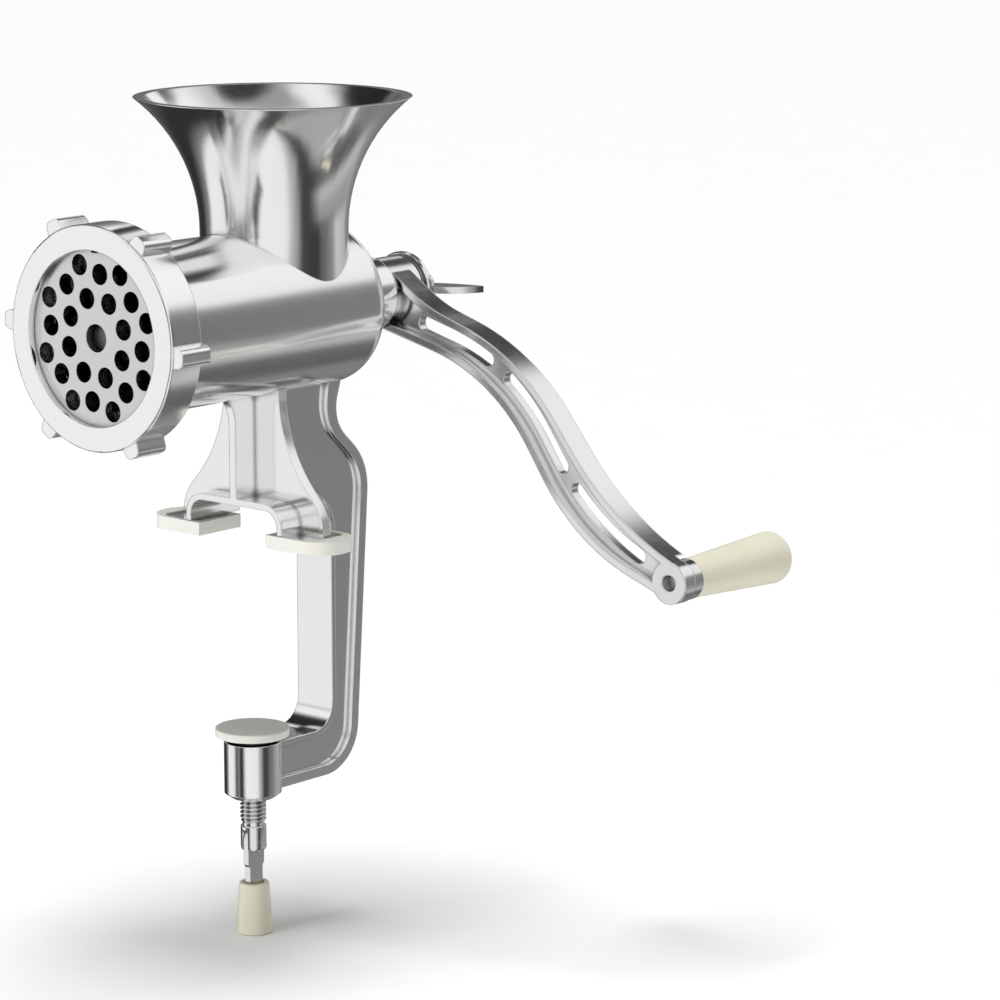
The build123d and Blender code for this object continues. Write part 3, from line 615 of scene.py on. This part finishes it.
def smooth(piece, sharp_degrees=35.0):
    """Shades a piece smoothly, but keeps the edges that are sharper than the given angle."""
    mesh = piece.data
    work = bmesh.new()
    work.from_mesh(mesh)
    bmesh.ops.recalc_face_normals(work, faces=work.faces)
    for edge in work.edges:
        if len(edge.link_faces) == 2:
            edge.smooth = edge.calc_face_angle(0.0) < math.radians(sharp_degrees)
    for face in work.faces:
        face.smooth = True
    work.to_mesh(mesh)
    work.free()


trial = thread_rows(start=0.0, end=0.010, pitch=0.003, root=0.01, depth=0.001, run_out=0.001, steps_round=48)
print("a trial thread has", len(trial), "rings of", len(trial[0]), "points")

# %% [markdown]
# ## The clamp screw
# The clamp screw is turned from a round bar. A die cuts its thread, the top is turned down
# to a pin that carries the pressure disc, and the lower end is slotted with a saw, so that
# the lever can fold between two tines. We build it in the same order, and start with one
# skin for the pin, the shoulder, the thread and the plain bar down to the slot.

# %% Turn the clamp screw
screw_radius = 0.0047
thread_depth = 0.00080
screw_pitch = 0.0015
screw_run_out = 0.0012
pin_radius = 0.0025
disc_foot = nodes["pressure_disc"].bound_box[0][2]
pin_top = disc_foot + 0.0015
pin_chamfer = 0.0003
shoulder_top = disc_foot - 0.00035
thread_top = shoulder_top - screw_run_out
thread_foot = -0.1033
fork_top = -0.1043
fork_chamfer = 0.0002
slot_top = -0.10565
screw_steps = 64
root_radius = screw_radius - thread_depth
fork_radius = screw_radius - 0.0001
rows = [
    plain_row(pin_top, pin_radius - pin_chamfer, screw_steps),
    plain_row(pin_top - pin_chamfer, pin_radius, screw_steps),
    plain_row(shoulder_top, pin_radius, screw_steps),
    plain_row(shoulder_top, root_radius, screw_steps),
    *thread_rows(
        thread_top, thread_foot, screw_pitch, root_radius, thread_depth, screw_run_out, screw_steps
    ),
    plain_row(fork_top, root_radius, screw_steps),
    plain_row(fork_top - fork_chamfer, fork_radius, screw_steps),
    plain_row(slot_top, fork_radius, screw_steps),
]
screw = new_piece("threaded_clamp_screw", *skin_of(rows, closed=True))
print("clamp screw:", len(screw.data.polygons), "faces, thread from", round(thread_top, 4), "to", thread_foot)

# %% [markdown]
# ## The fork's tines
# A saw cut leaves two tines under the screw. Each is a slice of the bar, and its section is
# the part of the circle outside the slot. We draw that section at a few levels and let it
# shrink towards the foot, which rounds the end. The tops reach a hair into the bar, so that
# no gap can show between them.

# %% Saw the fork
fork_foot = -0.1136
slot_half = 0.00135
tine_rounding = 0.0016
tine_tip_share = 0.72    # of the fork's radius, left at the very foot
tine_overlap = 0.0001
tine_steps = 20


def tine(side):
    """One tine of the fork, on the side given as +1 or -1 along X."""
    levels = [(slot_top + tine_overlap, 1.0), (fork_foot + tine_rounding, 1.0)]
    for degrees in (20, 40, 60, 75, 90):
        a = math.radians(degrees)
        share = tine_tip_share + (1.0 - tine_tip_share) * math.cos(a)
        levels.append((fork_foot + tine_rounding * (1.0 - math.sin(a)), share))
    rings = []
    for along, share in levels:
        radius = fork_radius * share
        reach = math.acos(min(1.0, slot_half / radius))
        angles = [reach * (2 * i / tine_steps - 1) for i in range(tine_steps + 1)]
        rings.append([(side * radius * math.cos(a), radius * math.sin(a), along) for a in angles])
    return skin_of(rings, closed=True)


tines = [new_piece(f"fork_tine_{label}", *tine(side)) for label, side in (("right", 1), ("left", -1))]
for piece in (screw, *tines):
    smooth(piece)
    piece.data.materials.append(turned_steel)
    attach(piece, "screw")
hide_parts("clamp_screw")
print("faces of a tine:", len(tines[0].data.polygons))

# %% [markdown]
# ## The barrel's and the ring's thread
# The ring nut screws onto the barrel's mouth. Both threads are coarse, because they must
# still turn when they are full of fat. The outside one stands a little proud of the
# barrel's plain mouth, and the inside one fills the ring's clearance.

# %% Cut the mouth's threads
axis_height = 0.0798


def round_barrel(rows_in):
    """Lays rings of points along the barrel's axis instead of upright."""
    return [[(x, -along, z + axis_height) for x, z, along in row] for row in rows_in]


coarse_pitch = 0.003
coarse_run_out = 0.0008
coarse_steps = 128
mouth_rows = thread_rows(
    start=0.0628, end=0.0702, pitch=coarse_pitch, root=0.03470, depth=0.00022,
    run_out=coarse_run_out, steps_round=coarse_steps,
)
mouth_thread = new_piece("mouth_thread", *skin_of(round_barrel(mouth_rows), closed=False))
ring_rows = thread_rows(
    start=0.0622, end=0.0724, pitch=coarse_pitch, root=0.03508, depth=-0.00010,
    run_out=coarse_run_out, steps_round=coarse_steps,
)
ring_thread = new_piece("ring_thread", *skin_of(round_barrel(ring_rows), closed=False))
for piece, finish_of, slot_name, body_name in (
    (mouth_thread, satin_casting, "cast_body", "root"),
    (ring_thread, polished_ring, "cast_ring", "ring"),
):
    smooth(piece)
    piece.data.materials.append(finish_of)
    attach(piece, body_name)
for label, thread in (("mouth", mouth_rows), ("ring", ring_rows)):
    print("turns of thread on the", label, round((len(thread) - 1) / steps_pitch, 1))
